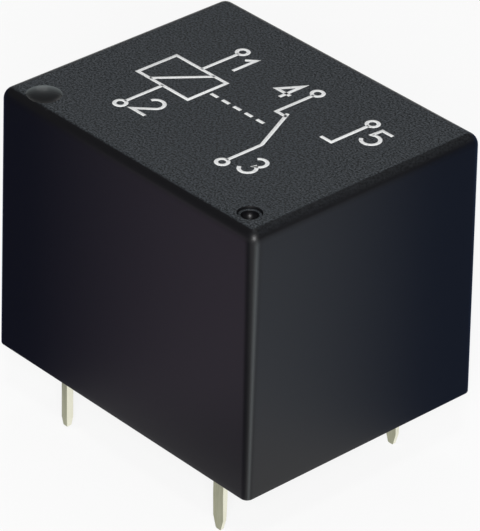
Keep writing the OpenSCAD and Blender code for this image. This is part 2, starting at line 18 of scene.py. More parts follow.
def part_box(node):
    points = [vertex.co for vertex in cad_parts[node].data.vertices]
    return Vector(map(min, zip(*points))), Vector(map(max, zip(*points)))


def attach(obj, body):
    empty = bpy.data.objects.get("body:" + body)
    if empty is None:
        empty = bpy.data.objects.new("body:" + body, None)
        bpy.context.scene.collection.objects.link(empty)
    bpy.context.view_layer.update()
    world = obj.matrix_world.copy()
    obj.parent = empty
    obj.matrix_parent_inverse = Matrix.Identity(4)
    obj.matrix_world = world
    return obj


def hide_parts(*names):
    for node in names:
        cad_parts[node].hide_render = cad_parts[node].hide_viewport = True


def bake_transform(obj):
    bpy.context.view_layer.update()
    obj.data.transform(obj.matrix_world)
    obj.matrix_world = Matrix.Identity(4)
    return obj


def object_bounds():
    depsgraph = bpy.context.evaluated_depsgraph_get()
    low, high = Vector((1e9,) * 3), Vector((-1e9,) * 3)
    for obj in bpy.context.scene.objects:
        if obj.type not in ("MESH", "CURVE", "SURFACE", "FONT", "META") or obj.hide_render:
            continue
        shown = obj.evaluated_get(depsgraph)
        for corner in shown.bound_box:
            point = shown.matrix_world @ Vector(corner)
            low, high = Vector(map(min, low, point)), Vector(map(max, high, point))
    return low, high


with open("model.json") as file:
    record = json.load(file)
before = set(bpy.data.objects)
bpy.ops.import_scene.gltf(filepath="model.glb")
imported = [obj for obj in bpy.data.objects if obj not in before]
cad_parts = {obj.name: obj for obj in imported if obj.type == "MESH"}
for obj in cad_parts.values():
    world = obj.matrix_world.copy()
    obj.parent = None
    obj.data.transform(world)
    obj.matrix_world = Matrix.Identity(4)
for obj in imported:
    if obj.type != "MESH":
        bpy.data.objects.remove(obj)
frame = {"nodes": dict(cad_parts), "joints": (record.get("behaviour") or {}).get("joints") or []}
cad_low, cad_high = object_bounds()
MM = 0.001
print("CAD box in mm:", [round((b - a) / MM, 2) for a, b in zip(cad_low, cad_high)])

# %% [markdown]
# ## The camera
# The photograph was taken with a long lens, so the upright edges hardly run together. The view could be
# set by eye, but the outline of the box fixes it: the values below are fitted to that outline.

# %% Camera
AZIMUTH = math.radians(47.2314)
ELEVATION = math.radians(31.5207)
ROLL = math.radians(1.4618)
DISTANCE = 219.33 * MM
LENS_MM = 289.969
LOOK_AT = Vector((-1.2215, 1.4385, 4.9579)) * MM

to_camera = Vector((
    math.sin(AZIMUTH) * math.cos(ELEVATION),
    -math.cos(AZIMUTH) * math.cos(ELEVATION),
    math.sin(ELEVATION),
))
turned = (-to_camera).to_track_quat("-Z", "Y").to_matrix() @ Matrix.Rotation(ROLL, 3, "Z")
camera = bpy.data.objects.new("camera", bpy.data.cameras.new("camera"))
camera.data.lens = LENS_MM
camera.data.clip_start = 1 * MM
camera.data.clip_end = 10
camera.matrix_world = Matrix.Translation(LOOK_AT + to_camera * DISTANCE) @ turned.to_4x4()
bpy.context.scene.collection.objects.link(camera)
bpy.context.scene.camera = camera
print("camera at", [round(x / MM, 1) for x in camera.location])

# %% [markdown]
# ## Colours and shader nodes
# Colours are written as they look on a screen, in sRGB, and Blender computes in linear light, so one
# function converts them. Another adds any shader node with its settings and links, and a few short ones
# use it for what every finish needs: noise of a real size, a mix of colours, a change of range, a bump.
# A material then reads as a short list.

# %% Helpers for materials
# Sockets of a mix node for colours: their names also stand on its sockets for numbers and vectors
MIX_FIRST, MIX_SECOND, MIX_RESULT = 6, 7, 2


def linear(hex_colour):
    """Linear RGBA of an sRGB hex colour: c / 12.92 for dark values, else ((c + 0.055) / 1.055) ** 2.4."""
    srgb = np.array([int(hex_colour[i:i + 2], 16) for i in (1, 3, 5)]) / 255
    rgb = np.where(srgb <= 0.04045, srgb / 12.92, ((srgb + 0.055) / 1.055) ** 2.4)
    return (*rgb.tolist(), 1.0)


def add_node(tree, kind, inputs=None, **settings):
    """Adds one node: settings are its properties, inputs give a value or a link for its sockets."""
    made = tree.nodes.new(kind)
    for name, value in settings.items():
        setattr(made, name, value)
    for name, value in (inputs or {}).items():
        if isinstance(value, bpy.types.NodeSocket):
            tree.links.new(value, made.inputs[name])
        else:
            made.inputs[name].default_value = value
    return made


def new_material(name):
    """An empty node material, and its tree."""
    made = bpy.data.materials.new(name)
    made.use_nodes = True
    made.node_tree.nodes.clear()
    return made, made.node_tree


def carried(tree, name):
    """Value that the mesh carries under a name."""
    return add_node(tree, "ShaderNodeAttribute", attribute_name=name).outputs["Fac"]


def noise(tree, size_mm, detail, stretch=None, **inputs):
    """Noise on Object coordinates whose pattern repeats about every size_mm, drawn out by stretch."""
    place = add_node(tree, "ShaderNodeTexCoord").outputs["Object"]
    if stretch:
        place = add_node(tree, "ShaderNodeMapping", {"Vector": place, "Scale": stretch}).outputs["Vector"]
    inputs = {"Vector": place, "Scale": 1 / (size_mm * MM), "Detail": detail, **inputs}
    return add_node(tree, "ShaderNodeTexNoise", inputs).outputs["Fac"]


def mixed(tree, share, first, second, **settings):
    """Colour between two, each a hex colour or a link, by a share (held from 0 to 1 if not set free)."""
    first, second = (linear(c) if isinstance(c, str) else c for c in (first, second))
    inputs = {"Factor": share, MIX_FIRST: first, MIX_SECOND: second}
    return add_node(tree, "ShaderNodeMix", inputs, data_type="RGBA", **settings).outputs[MIX_RESULT]


def remap(tree, value, low, high, to_low=0.0, to_high=1.0):
    """Value brought from the range low to high to the range to_low to to_high, and held at its ends."""
    inputs = {"Value": value, "From Min": low, "From Max": high, "To Min": to_low, "To Max": to_high}
    return add_node(tree, "ShaderNodeMapRange", inputs).outputs["Result"]


def combined(tree, operation, first, second):
    """Result of a math node for two values."""
    return add_node(tree, "ShaderNodeMath", {0: first, 1: second}, operation=operation).outputs[0]


def bumped(tree, height, depth_mm, strength, **inputs):
    """Normals of a surface whose height swings by depth_mm."""
    inputs = {"Height": height, "Distance": depth_mm * MM, "Strength": strength, **inputs}
    return add_node(tree, "ShaderNodeBump", inputs).outputs["Normal"]


def close_surface(tree, colour, roughness, normal, **inputs):
    """Ends a material: one shader with its colour, roughness and normals, and the output."""
    inputs = {"Base Color": colour, "Roughness": roughness, "Normal": normal, **inputs}
    shader = add_node(tree, "ShaderNodeBsdfPrincipled", inputs)
    add_node(tree, "ShaderNodeOutputMaterial", {"Surface": shader.outputs["BSDF"]})

# %% [markdown]
# ## Grids, strips and rings
# Every new piece is a grid of points: a function of two parameters, worked out for all points at once.
# A piece made of several grids is joined where their edges share the same points. A sheet-metal part is
# one grid for its middle, moved half a thickness to each side and closed along its edges, and cells can
# be left out of it for a window.

# %% Helpers for meshes
# Points closer than this, in mm, become one
WELD = 2e-4


def grid_quads(rows, columns, ring=False):
    """Corner numbers of the cells of a grid of points, with the last column joined to the first in a ring."""
    r, c = np.meshgrid(np.arange(rows - 1), np.arange(columns if ring else columns - 1), indexing="ij")
    n = (c + 1) % columns
    return np.stack([r * columns + c, r * columns + n, (r + 1) * columns + n, (r + 1) * columns + c], -1)


def whole(points, ring=False):
    """A grid of points with all its cells, as a part of a piece."""
    return points.reshape(-1, 3), grid_quads(*points.shape[:2], ring)


def lifted(plan, z):
    """Points at height z over a plan; z may differ for its rows and columns."""
    return np.concatenate([plan, np.broadcast_to(z, plan.shape[:-1])[..., None]], -1)


def quarter(steps):
    """Angles of a quarter turn."""
    return np.linspace(0, np.pi / 2, steps + 1)


def turned_round(radius, z, stations, centre=(0, 0)):
    """Surface turned round an upright axis: radii by rows, and by columns if they differ there too."""
    around = np.linspace(0, 2 * np.pi, stations, endpoint=False)
    plan = np.stack([radius * np.cos(around), radius * np.sin(around)], -1) + centre
    return lifted(plan, z[:, None])


def in_mm(corners):
    """Corners of a box in mm."""
    return [np.array(corner) / MM for corner in corners]


def make_piece(name, parts, material, sharp_deg=35, values=None):
    """Joins parts, each (points in mm, quads), into one mesh at the origin with its faces turned outwards.
    values holds one array for each part under the name of a point attribute."""
    counts = np.cumsum([0] + [len(p) for p, _ in parts])
    points = np.concatenate([p for p, _ in parts]) * MM
    quads = np.concatenate([q.reshape(-1, 4) + n for (_, q), n in zip(parts, counts)])
    mesh = bpy.data.meshes.new(name)
    mesh.from_pydata(points.tolist(), [], quads.tolist())
    for attribute, arrays in (values or {}).items():
        layer = mesh.attributes.new(attribute, "FLOAT", "POINT")
        layer.data.foreach_set("value", np.concatenate(arrays).astype(np.float32))
    work = bmesh.new()
    work.from_mesh(mesh)
    bmesh.ops.remove_doubles(work, verts=work.verts, dist=WELD * MM)
    bmesh.ops.recalc_face_normals(work, faces=work.faces)
    work.to_mesh(mesh)
    work.free()
    # Each face carries how far it looks along x: tin faces that do are paler, partly burnished cut edges,
    # partly painted highlight.
    facing = np.empty(3 * len(mesh.polygons), np.float32)
    mesh.polygons.foreach_get("normal", facing)
    mesh.attributes.new("burnish_and_highlight", "FLOAT", "FACE").data.foreach_set("value", np.abs(facing[::3]))
    mesh.shade_smooth()
    mesh.set_sharp_from_angle(angle=math.radians(sharp_deg))
    mesh.materials.append(material)
    piece = bpy.data.objects.new(name, mesh)
    bpy.context.scene.collection.objects.link(piece)
    print(f"{name}: {len(mesh.vertices)} points, {len(mesh.polygons)} faces")
    return piece


def thick_sheet(middle, normal, thickness, kept=None):
    """Closed sheet: middle points plus and minus half a thickness along their normals.
    The arrays are rows by columns by 3; kept says which cells are metal, and walls close its edges."""
    rows, columns = middle.shape[:2]
    kept = np.ones((rows - 1, columns - 1), bool) if kept is None else kept
    half = np.broadcast_to(np.asarray(thickness, float) / 2, (rows, columns))[..., None] * normal
    points = np.concatenate([(middle + half).reshape(-1, 3), (middle - half).reshape(-1, 3)])
    below = rows * columns
    cells = grid_quads(rows, columns)
    quads = [cells[kept], cells[kept][:, ::-1] + below]
    framed = np.pad(kept, 1)
    sides = [(0, 1, framed[:-2, 1:-1]), (1, 2, framed[1:-1, 2:]),
             (2, 3, framed[2:, 1:-1]), (3, 0, framed[1:-1, :-2])]
    for a, b, neighbour in sides:
        edge = cells[kept & ~neighbour]
        quads.append(np.stack([edge[:, b], edge[:, a], edge[:, a] + below, edge[:, b] + below], -1))
    return points, np.concatenate(quads)

# %% [markdown]
# ## The cover's plastic
# The cover is injection-moulded in black PBT. The mould was polished where it forms the sides, so they
# mirror the room softly. Its top was spark-eroded, which leaves a fine, even, pebbly grain, so the top
# scatters the light and looks greyer, and the print holds on it. A thin bright line down the upright
# corners and a pale glow on the far rim of the gate dish are painted highlights. It is all one plastic, so
# there is one material, and its grain and gloss follow two values that the surface carries: spark, and
# the painted highlight.

# %% Material: black PBT, spark-eroded on top and polished on the sides
# Size of a pebble of the grain, and of the slow swell in the polished sides
GRAIN_MM, SWELL_MM = 0.11, 4.0
# Below the 1.55 of solid PBT, because the moulded skin is a weaker mirror than a polished block
PBT_IOR = 1.35


def black_pbt():
    """Carbon-black PBT: deep black in the gloss of the sides, dark grey and pebbly on the grained top."""
    made, tree = new_material("PBT black, spark-eroded and polished")
    spark, painted_highlight = carried(tree, "spark"), carried(tree, "painted_highlight")
    grain = noise(tree, GRAIN_MM, 3.0, Roughness=0.65)
    swell = noise(tree, SWELL_MM, 1.0)
    # Colour #393c3d is the painted highlight of the corner lines and the dish; in the dish its share goes
    # past 1, so this share is set free.
    gloss = mixed(tree, painted_highlight, "#0c0c0f", "#393c3d", clamp_factor=False)
    # The grain's hollows take the darker pebble colour: painted shade in the hollows of the grain.
    pebble = mixed(tree, remap(tree, grain, 0.4, 0.6), "#111416", "#4a4f54")
    sheen = remap(tree, painted_highlight, 0, 1, 0.38, 0.22)
    roughness = remap(tree, spark, 0, 1, sheen, 0.62)
    waves = bumped(tree, swell, 0.004, 0.5)
    normal = bumped(tree, combined(tree, "MULTIPLY", grain, spark), 0.08, 1.0, Normal=waves)
    close_surface(tree, mixed(tree, spark, gloss, pebble), roughness, normal, IOR=PBT_IOR)
    return made


pbt = black_pbt()
print("material:", pbt.name)

# %% [markdown]
# ## The moulded cover
# The cover is a deep, thin-walled box: walls that lean in a little so that it leaves the mould, round
# edges, a roof with a round gate dish at one corner and a vent pip at another. Bevelled cubes and
# booleans would leave ragged shading round the dish, which runs into the round edge. Here one profile,
# from the ceiling down the inside, round the rim and up the outside, is carried round a rounded
# rectangle, and the roof is a ruled sheet with two blocks left open for the dish and the vent.

# %% Sizes of the cover, in mm
cover_high = in_mm(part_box("cover"))[1]
HALF_L, HALF_W = cover_high[0], cover_high[1]
# The roof stays this far below the CAD roof, for the thickness of the ink
INK_ROOM = 0.012
TOP_Z = cover_high[2] - INK_ROOM
WALL_T, ROOF_T, DRAFT, SKIRT_H = 0.7, 0.8, 0.08, 0.4
CORNER_R, EDGE_R, CAVITY_R, RIM_R = 0.4, 0.65, 0.3, 0.06
# How far a side is hollow in its middle, as the plastic shrank
WALL_SINK = 0.03
FLAT_X = HALF_L - DRAFT - EDGE_R
FLAT_Y = HALF_W - DRAFT - EDGE_R
# Middles of the dish and the vent, by their distances from the walls
DISH = np.array([2.2 - HALF_L, 1.3 - HALF_W])
DISH_R, DISH_DEPTH = 0.925, 0.24
VENT = np.array([HALF_L - 1.85, 1.45 - HALF_W])
VENT_R, VENT_DEPTH, VENT_RING_R, VENT_RING_DEPTH = 0.425, 0.6, 0.63, 0.12
print("flat of the roof:", round(2 * FLAT_X, 2), "by", round(2 * FLAT_Y, 2), "mm")

# %% Ruling of the roof
DISH_SPAN, VENT_SPAN = 1.25, 0.95
PATCH_Y = DISH[1] + DISH_SPAN


def ruled(stops, counts):
    """Numbers from the first stop to the last, with each stretch cut in its own count of steps."""
    stretches = [np.linspace(a, b, n, endpoint=False) for a, b, n in zip(stops, stops[1:], counts)]
    return np.append(np.concatenate(stretches), stops[-1])


x_counts, y_counts = (6, 22, 30, 18, 4), (18, 28)
dish_stops, vent_stops = DISH[0] + DISH_SPAN * np.array([-1, 1]), VENT[0] + VENT_SPAN * np.array([-1, 1])
x_lines = ruled([-FLAT_X, *dish_stops, *vent_stops, FLAT_X], x_counts)
y_lines = ruled([-FLAT_Y, PATCH_Y, FLAT_Y], y_counts)
dish_columns = np.cumsum(x_counts)[:2]
vent_columns = np.cumsum(x_counts)[2:4]
patch_rows = y_counts[0]
print(len(x_lines), "by", len(y_lines), "lines on the roof")

# %% The wall: one profile carried round a rounded rectangle
CORNER_STEPS, ROUND_STEPS, WALL_STEPS = 12, 8, 14
# Where on the turn of a corner the painted highlight line lies, and how wide it is
HIGHLIGHT_AT, HIGHLIGHT_SPREAD = np.radians(60), np.radians(9)


def rounded_rectangle(x_share, y_share):
    """Stations round a rectangle with round corners: its straight sides follow the given shares (-1 to 1).
    A point is share * corner centre + radius * outward direction; sag is 1 mid-side and 0 at the corners,
    and the painted highlight is a narrow line along each corner."""
    turn = quarter(CORNER_STEPS)[1:-1]
    line = np.exp(-((turn - HIGHLIGHT_AT) / HIGHLIGHT_SPREAD) ** 2)
    sides = [(x_share, -1), (1, y_share), (x_share[::-1], 1), (-1, y_share[::-1])]
    corners = [(1, -1), (1, 1), (-1, 1), (-1, -1)]
    rows = []
    for k, (side, corner) in enumerate(zip(sides, corners)):
        start = (k - 1) * np.pi / 2
        rows.append(np.broadcast_arrays(*side, start, 1 - side[k % 2] ** 2, 0.0))
        rows.append(np.broadcast_arrays(*corner, start + turn, 0.0, line))
    share_x, share_y, angle, sag, painted_highlight = (np.concatenate(v) for v in zip(*rows))
    return share_x, share_y, np.cos(angle), np.sin(angle), sag, painted_highlight


def carried_round(stations, centre_x, centre_y, radius, z, sink):
    """Surface of a profile carried round: one row for each profile point, one column for each station."""
    share_x, share_y, out_x, out_y, sag = stations
    reach = radius[:, None] - np.multiply.outer(sink, sag)
    x = np.multiply.outer(centre_x, share_x) + reach * out_x
    y = np.multiply.outer(centre_y, share_y) + reach * out_y
    return lifted(np.stack([x, y], -1), z[:, None])


def profile_rows(inset, radius, z, sink=0.0):
    """Rows (inset of the corner centre, radius, z, sink) of a stretch of the profile."""
    return np.stack(np.broadcast_arrays(inset, radius, z, sink), -1)


def wall_profile():
    """Profile rows from the ceiling down the inside, round the rim and up the outside to the roof."""
    turn = quarter(ROUND_STEPS)
    rise = np.linspace(0, 1, WALL_STEPS + 1)
    ceiling, shoulder = TOP_Z - ROOF_T - CAVITY_R, TOP_Z - EDGE_R
    lean = DRAFT * rise
    corner = CORNER_R + (EDGE_R - CORNER_R) * rise
    bow = WALL_SINK * np.sin(np.pi * rise) ** 2
    hollow = WALL_T + CAVITY_R
    vault = profile_rows(hollow + DRAFT, CAVITY_R * np.cos(turn), ceiling + CAVITY_R * np.sin(turn))
    inside = profile_rows(hollow + lean, CAVITY_R, SKIRT_H + (ceiling - SKIRT_H) * rise)
    foot = profile_rows([hollow], CAVITY_R, 0)
    rim = profile_rows(CORNER_R, CORNER_R - RIM_R + RIM_R * np.sin(turn), RIM_R - RIM_R * np.cos(turn))
    outside = profile_rows(corner + lean, corner, SKIRT_H + (shoulder - SKIRT_H) * rise, bow)
    edge = profile_rows(EDGE_R + DRAFT, EDGE_R * np.cos(turn), shoulder + EDGE_R * np.sin(turn))
    return np.concatenate([vault[:0:-1], inside[::-1], foot, rim, outside, edge[1:]])


*stations, highlight_line = rounded_rectangle(x_lines / FLAT_X, y_lines / FLAT_Y)
inset, radius, height, sink = wall_profile().T
wall = carried_round(stations, HALF_L - inset, HALF_W - inset, radius, height, sink)
print("wall:", wall.shape[0], "rows round", wall.shape[1], "stations")

# %% [markdown]
# ## The gate dish and the vent pip
# The gate dish is the smooth hollow where the plastic was injected, and the vent pip is a small blind
# hole in a shallow ring. Near the dish, the roof and its round edge are treated as one sheet that is
# rolled over the edge, and rays run out from the dish's middle on it. On each ray, halving an interval
# finds the point where the sheet meets the ball of the dish, so the rim is exact even on the round edge.
# The grain stops just past the flat of the roof, and a worn trace of it runs on over the edge of one end.

# %% The dish as a patch between a block's border and its middle
DISH_RINGS, APRON_RINGS, HALVINGS = 12, 7, 40
# The rings round the dish crowd towards its rim: they reach this share of the way, by this power
APRON_SHARE, APRON_POWER = 0.97, 0.6
# How far past the flat the grain runs on, and the length over which it fades
GRAIN_REACH, GRAIN_FADE = 0.1, 0.14


def rolled_sheet(x, q):
    """Point of the roof at distance q across it; past the flat, q runs on round the edge's arc."""
    angle = np.clip(-FLAT_Y - q, 0, None) / EDGE_R
    y = np.maximum(q, -FLAT_Y) - EDGE_R * np.sin(angle)
    return np.stack([x, y, TOP_Z - EDGE_R + EDGE_R * np.cos(angle)], -1)


def grain_share(q):
    """Share of the grain at a distance q across the rolled sheet: 1 on the flat, 0 past the fading."""
    return np.clip(1 - (-FLAT_Y - q - GRAIN_REACH) / GRAIN_FADE, 0, 1)


def block_border(xs, qs):
    """Points (x, q) round a block of the ruling, once round, starting at its first corner."""
    x = np.concatenate([xs, 0 * qs[1:] + xs[-1], xs[-2::-1], 0 * qs[1:-1] + xs[0]])
    q = np.concatenate([0 * xs + qs[0], qs[1:], 0 * xs[1:] + qs[-1], qs[-2:0:-1]])
    return np.stack([x, q], -1)


def dish_patch(border):
    """Rings from the border to the rim on the sheet, then down the ball z = c - sqrt(R^2 - r^2)."""
    ball_r = (DISH_R ** 2 + DISH_DEPTH ** 2) / (2 * DISH_DEPTH)
    ball = np.array([*DISH, TOP_Z - DISH_DEPTH + ball_r])
    near, far = np.zeros(len(border)), np.ones(len(border))
    for _ in range(HALVINGS):
        half = (near + far) / 2
        xq = DISH + half[:, None] * (border - DISH)
        inside = np.linalg.norm(rolled_sheet(xq[:, 0], xq[:, 1]) - ball, axis=1) < ball_r
        near, far = np.where(inside, half, near), np.where(inside, far, half)
    inward = np.append(np.linspace(0, APRON_SHARE, APRON_RINGS) ** APRON_POWER, 1)
    share = 1 + np.multiply.outer(inward, near - 1)
    xq = DISH + share[..., None] * (border - DISH)
    apron = rolled_sheet(xq[..., 0], xq[..., 1])
    shrink = np.linspace(1, 0, DISH_RINGS)[1:]
    plan = np.multiply.outer(shrink, apron[-1, :, :2] - DISH)
    depth = ball[2] - np.sqrt(ball_r ** 2 - (plan ** 2).sum(-1))
    bowl = lifted(DISH + plan, depth)
    bare = np.zeros((DISH_RINGS, len(border)))
    return np.concatenate([apron, bowl]), np.concatenate([grain_share(xq[:-1, :, 1]), bare])


edge_rows = np.arange(len(wall) - 1 - ROUND_STEPS // 2, len(wall))
round_q = -FLAT_Y - EDGE_R * quarter(ROUND_STEPS)[::-1]
edge_q = round_q[-len(edge_rows):]
flat_q = y_lines[:patch_rows + 1]
dish_xs = x_lines[dish_columns[0]:dish_columns[1] + 1]
dish_points, dish_spark = dish_patch(block_border(dish_xs, np.concatenate([edge_q[:-1], flat_q])))
print("dish:", dish_points.shape[:2])

# %% The painted highlight of the dish
# The painted highlight of the dish: the way to its bright far rim, its share all over and at that rim, and
# its fading in dish radii
DISH_HIGHLIGHT_WAY = np.array([-0.73, 0.68])
DISH_HIGHLIGHT_BASE, DISH_HIGHLIGHT_RIM, DISH_HIGHLIGHT_FADE = 0.12, 3.0, 0.24


def paint_dish_highlight(points):
    """Painted highlight in the dish, brightest on the far rim: base + rim * exp(-t / fade), with t the way to
    the far rim in dish radii.
    """
    off = (points[..., :2] - DISH) / DISH_R
    along = off @ DISH_HIGHLIGHT_WAY
    across = off @ np.array([-DISH_HIGHLIGHT_WAY[1], DISH_HIGHLIGHT_WAY[0]])
    to_rim = np.sqrt(np.clip(1 - across ** 2, 0, None)) - along
    return DISH_HIGHLIGHT_BASE + DISH_HIGHLIGHT_RIM * np.exp(-np.clip(to_rim, 0, None) / DISH_HIGHLIGHT_FADE)


# The bowl of the dish carries its painted highlight, the apron round it none.
in_dish = np.arange(len(dish_points))[:, None] >= APRON_RINGS
dish_highlight = np.where(in_dish, paint_dish_highlight(dish_points), 0)
print("painted_dish_highlight up to", dish_highlight.max().round(2))

# %% The vent as a patch of the same kind
VENT_STEPS = 6


def vent_patch(border):
    """Rings from the border to the ring's rim, then a turned profile: ring, step, bore and a round bottom."""
    soft, fillet = 0.02, 0.07
    turn = quarter(VENT_STEPS)
    ring_z = TOP_Z - VENT_RING_DEPTH
    ball_z = TOP_Z - VENT_DEPTH + VENT_R
    rim = VENT_RING_R + np.array([soft, 0.3 * soft, 0, -soft, -fillet])
    rim_z = [TOP_Z, TOP_Z - 0.3 * soft, TOP_Z - soft, ring_z, ring_z]
    mouth = VENT_R + np.array([fillet, 2 * soft, 0.5 * soft, 0])
    mouth_z = ring_z - np.array([0, 0, 0.5 * soft, 2 * soft])
    reach = np.concatenate([rim, mouth, VENT_R * np.cos(turn)])
    level = np.concatenate([rim_z, mouth_z, ball_z - VENT_R * np.sin(turn)])
    ray = (border - VENT) / np.linalg.norm(border - VENT, axis=1)[:, None]
    hole = lifted(VENT + np.multiply.outer(reach, ray), level[:, None])
    spread = np.linspace(0, 1, APRON_RINGS)[:-1, None, None]
    apron = lifted(border + spread * (hole[0, :, :2] - border), TOP_Z)
    # The roof and the floor of the ring are grained, the step and the bore are smooth.
    grained = np.concatenate([np.ones(len(apron) + 1), [0, 0, 0, 1, 1, 1], np.zeros(len(reach) - 7)])
    return np.concatenate([apron, hole]), np.broadcast_to(grained[:, None], (len(grained), len(border)))


vent_xs = x_lines[vent_columns[0]:vent_columns[1] + 1]
vent_points, vent_spark = vent_patch(block_border(vent_xs, flat_q))
print("vent:", vent_points.shape[:2])

# %% Roof, ceiling and ribs
RIB_PITCH, RIB_W, RIB_D, RIB_H, RIB_FOOT_Z = 5.0, 1.0, 0.4, 3.0, 2.1


def flat_grid(xs, ys, z):
    """Level grid at height z over the given lines, rows along y."""
    return lifted(np.stack(np.meshgrid(xs, ys), -1), z)


def rib_block(x, side):
    """Stop rib on a long wall: a level rectangle carried up from the base plate, closed at both ends."""
    wall_y, tip_y = HALF_W - WALL_T / 2, HALF_W - WALL_T - RIB_D
    xs = x + np.array([-RIB_W, RIB_W]) / 2
    ys = side * np.array([tip_y, wall_y])
    levels = [flat_grid(xs, ys, RIB_FOOT_Z + RIB_H * k) for k in (0, 1)]
    ring = np.stack([level.reshape(-1, 3)[[0, 1, 3, 2]] for level in levels])
    quads = np.concatenate([grid_quads(2, 4, ring=True).reshape(-1, 4), [[0, 1, 2, 3], [4, 5, 6, 7]]])
    return ring.reshape(-1, 3), quads


wall_cells = grid_quads(*wall.shape[:2], ring=True)
open_wall = np.ones(wall_cells.shape[:2], bool)
open_wall[edge_rows[0]:, dish_columns[0]:dish_columns[1]] = False
roof = flat_grid(x_lines, y_lines, TOP_Z)
roof_cells = grid_quads(*roof.shape[:2])
open_roof = np.ones(roof_cells.shape[:2], bool)
open_roof[:patch_rows, dish_columns[0]:dish_columns[1]] = False
open_roof[:patch_rows, vent_columns[0]:vent_columns[1]] = False
ceiling_inset = WALL_T + DRAFT + CAVITY_R
ceiling_x = x_lines / FLAT_X * (HALF_L - ceiling_inset)
ceiling_y = y_lines / FLAT_Y * (HALF_W - ceiling_inset)
ceiling = flat_grid(ceiling_x, ceiling_y, TOP_Z - ROOF_T)
ribs = [rib_block(x, side) for x in (-RIB_PITCH / 2, RIB_PITCH / 2) for side in (-1, 1)]
cover_parts = [
    (wall.reshape(-1, 3), wall_cells[open_wall]), (roof.reshape(-1, 3), roof_cells[open_roof]),
    whole(dish_points, ring=True), whole(vent_points, ring=True), whole(ceiling), *ribs,
]
print("cover:", len(cover_parts), "parts")

# %% The cover as one piece, with the two values that its plastic follows
# The painted highlight line starts this far below the top and is whole after this length
HIGHLIGHT_TOP, HIGHLIGHT_FADE = 0.3, 0.4
# The worn trace on the end: its share of the grain, and how much further it runs
WORN_SHARE, WORN_REACH = 0.18, 0.35
plain = [np.zeros(len(p)) for p, _ in cover_parts]
end_wall = np.clip(stations[2], 0, 1)
wall_spark = np.zeros(wall.shape[:2])
wall_spark[-1 - ROUND_STEPS:] = np.maximum(
    grain_share(round_q[:, None] - GRAIN_REACH * end_wall),
    WORN_SHARE * end_wall * grain_share(round_q[:, None] + WORN_REACH))
cover_spark = [wall_spark.ravel(), 1 + plain[1], dish_spark.ravel(), vent_spark.ravel(), *plain[4:]]
# The first third of the wall's rows lies inside and gets no painted highlight.
wall_highlight = np.multiply.outer(np.clip((TOP_Z - HIGHLIGHT_TOP - height) / HIGHLIGHT_FADE, 0, 1), highlight_line)
wall_highlight[:len(wall_highlight) // 3] = 0
cover_highlight = [wall_highlight.ravel(), plain[1], dish_highlight.ravel(), *plain[3:]]
cover = make_piece("moulded_cover", cover_parts, pbt,
                   values={"spark": cover_spark, "painted_highlight": cover_highlight})
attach(cover, "housing")
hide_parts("cover")

# %% [markdown]
# ## Metal and plastic finishes inside and below
# Most finishes here are one idea with other numbers: a fine noise of the right grain moves the colour, the
# roughness and the height a little, stretched along the direction in which the metal was rolled or drawn.
# One function builds that, and each material says what it is and how its surface was made.

# %% Finishes of the other parts
# Noise drawn out about eight times along the pins, and along the spring
ALONG_Z = (1, 1, 0.12)
ALONG_X = (0.12, 1, 1)


def grained_finish(name, light, dark, grain_mm, roughness, metallic=0.0, spread=0.12, height_mm=0.002,
                   stretch=None):
    """Colour between dark and light, roughness and height that follow one noise of the given grain."""
    made, tree = new_material(name)
    grain = noise(tree, grain_mm, 4.0, stretch)
    colour = mixed(tree, grain, dark, light)
    rough = remap(tree, grain, 0, 1, roughness - spread, roughness + spread)
    close_surface(tree, colour, rough, bumped(tree, grain, height_mm, 0.6), Metallic=metallic)
    return made


def tinned_copper():
    """Hot-dipped tin, streaked along the pin: dull and greenish on most faces, pale and bright on the faces
    that look along x, which is partly the burnish of stamped cut edges and partly a painted highlight of lit
    sides."""
    made, tree = new_material("tin, hot-dipped on rolled copper alloy")
    streak = noise(tree, 0.12, 4.0, ALONG_Z)
    dull = mixed(tree, streak, "#8b8c75", "#b0b09a")
    pale = mixed(tree, streak, "#e4e2cc", "#f4f3e2")
    colour = mixed(tree, remap(tree, carried(tree, "burnish_and_highlight"), 0.5, 0.8), dull, pale)
    close_surface(tree, colour, 0.38, bumped(tree, streak, 0.003, 0.6), Metallic=1.0)
    return made


tin = tinned_copper()
# Moulded black PBT of the base: plain, a little duller than the cover
base_pbt = grained_finish("PBT black, moulded", "#2a2b2e", "#202124", 0.2, 0.5)
# Cast epoxy: it levels itself before it sets, so it is glossy with a slight swell
resin = grained_finish("epoxy black, cast", "#1a1a1c", "#121214", 2.0, 0.2, 0.0, 0.06, 0.02)
# Natural glass-filled PET of the bobbin: milky, with a faint cloudiness
bobbin_pet = grained_finish("PET natural, moulded", "#ece7d8", "#ddd6c2", 0.5, 0.45)
# Polyurethane-enamelled copper wire: copper seen through an amber varnish
copper = grained_finish("copper wire, enamelled", "#c9753a", "#9c4a1e", 0.15, 0.28, 1.0, 0.08, 0.001)
# Soft iron, barrel zinc-plated: bluish grey with a fine crystalline cloud
iron = grained_finish("soft iron, zinc-plated", "#c2c6cb", "#9fa5ac", 0.25, 0.36, 1.0)
# Turned brass rivets
brass = grained_finish("brass, turned", "#d9b865", "#b58f3d", 0.1, 0.3, 1.0)
# Rolled phosphor bronze strip: reddish gold with rolling lines along it
bronze = grained_finish("phosphor bronze, rolled", "#d8a468", "#b97f45", 0.1, 0.3, 1.0, 0.1, 0.001, ALONG_X)
# Cold-headed silver alloy: white metal, softly bright
silver = grained_finish("silver alloy, cold-headed", "#e9e8e4", "#cfcfcc", 0.1, 0.25, 1.0)

